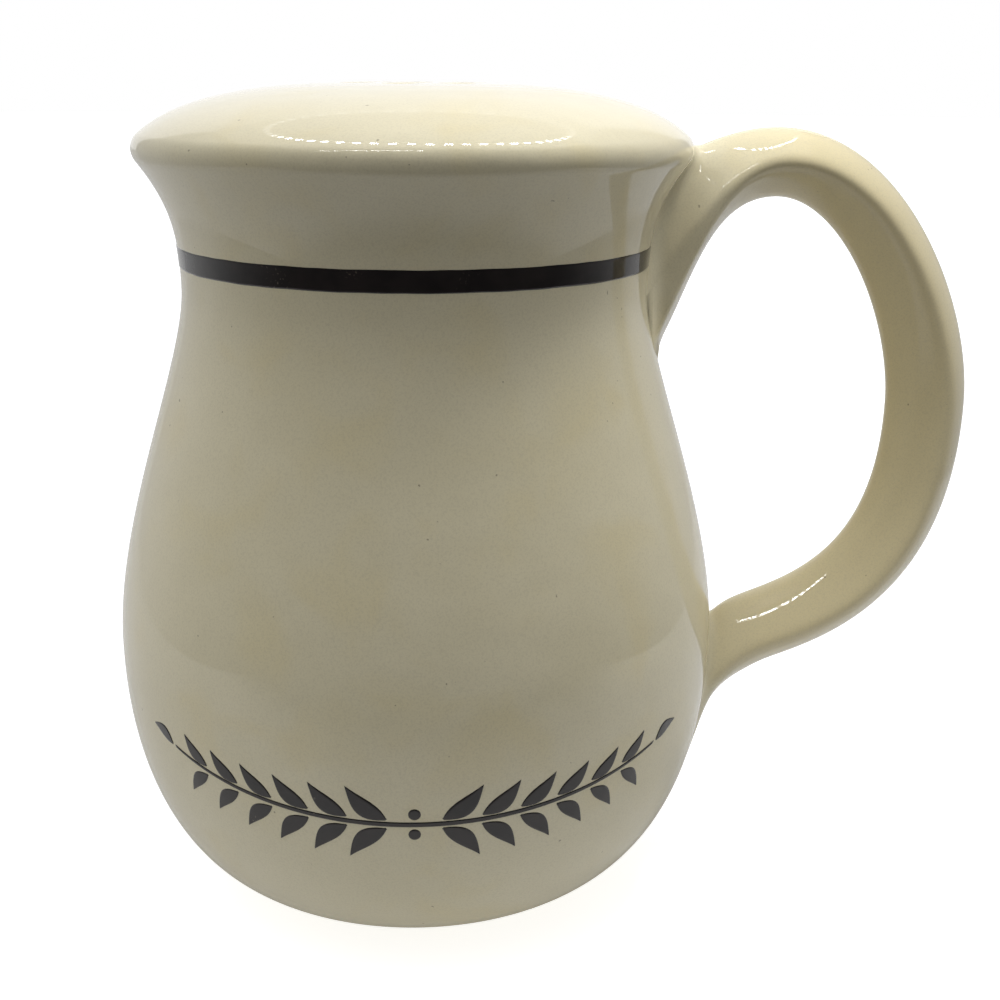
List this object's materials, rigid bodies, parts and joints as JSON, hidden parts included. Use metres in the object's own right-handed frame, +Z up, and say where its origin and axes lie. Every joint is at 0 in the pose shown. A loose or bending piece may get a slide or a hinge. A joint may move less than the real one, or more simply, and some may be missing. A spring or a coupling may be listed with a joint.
{
  "type": "cheese shaker",
  "caption": "Pear-shaped glazed ceramic cheese shaker with a pierced domed top, a strap handle and a stopper that pulls out of its base.",
  "frame": {"origin": "centre of the foot ring, on the table plane", "axes": "+Z up along the pot's axis, +X towards the handle"},
  "size_m": [0.1427, 0.0988, 0.1337],
  "materials": {
    "cream_glaze": "glossy cream glaze with a fine speckle",
    "dark_print": "glossy dark brown fired-on colour",
    "soft_vinyl": "soft off-white vinyl, slightly dull"
  },
  "bodies": {
    "pot": {"body_shell": "cream_glaze", "perforated_top": "cream_glaze", "handle": "cream_glaze", "neck_band": "dark_print", "belly_sprig": "dark_print"},
    "stopper": {"filling_stopper": "soft_vinyl"}
  },
  "joints": [
    {"name": "stopper_pull", "type": "slide", "parent": "pot", "child": "stopper", "axis": [0, 0, -1], "range_m": [0, 0.05]}
  ]
}
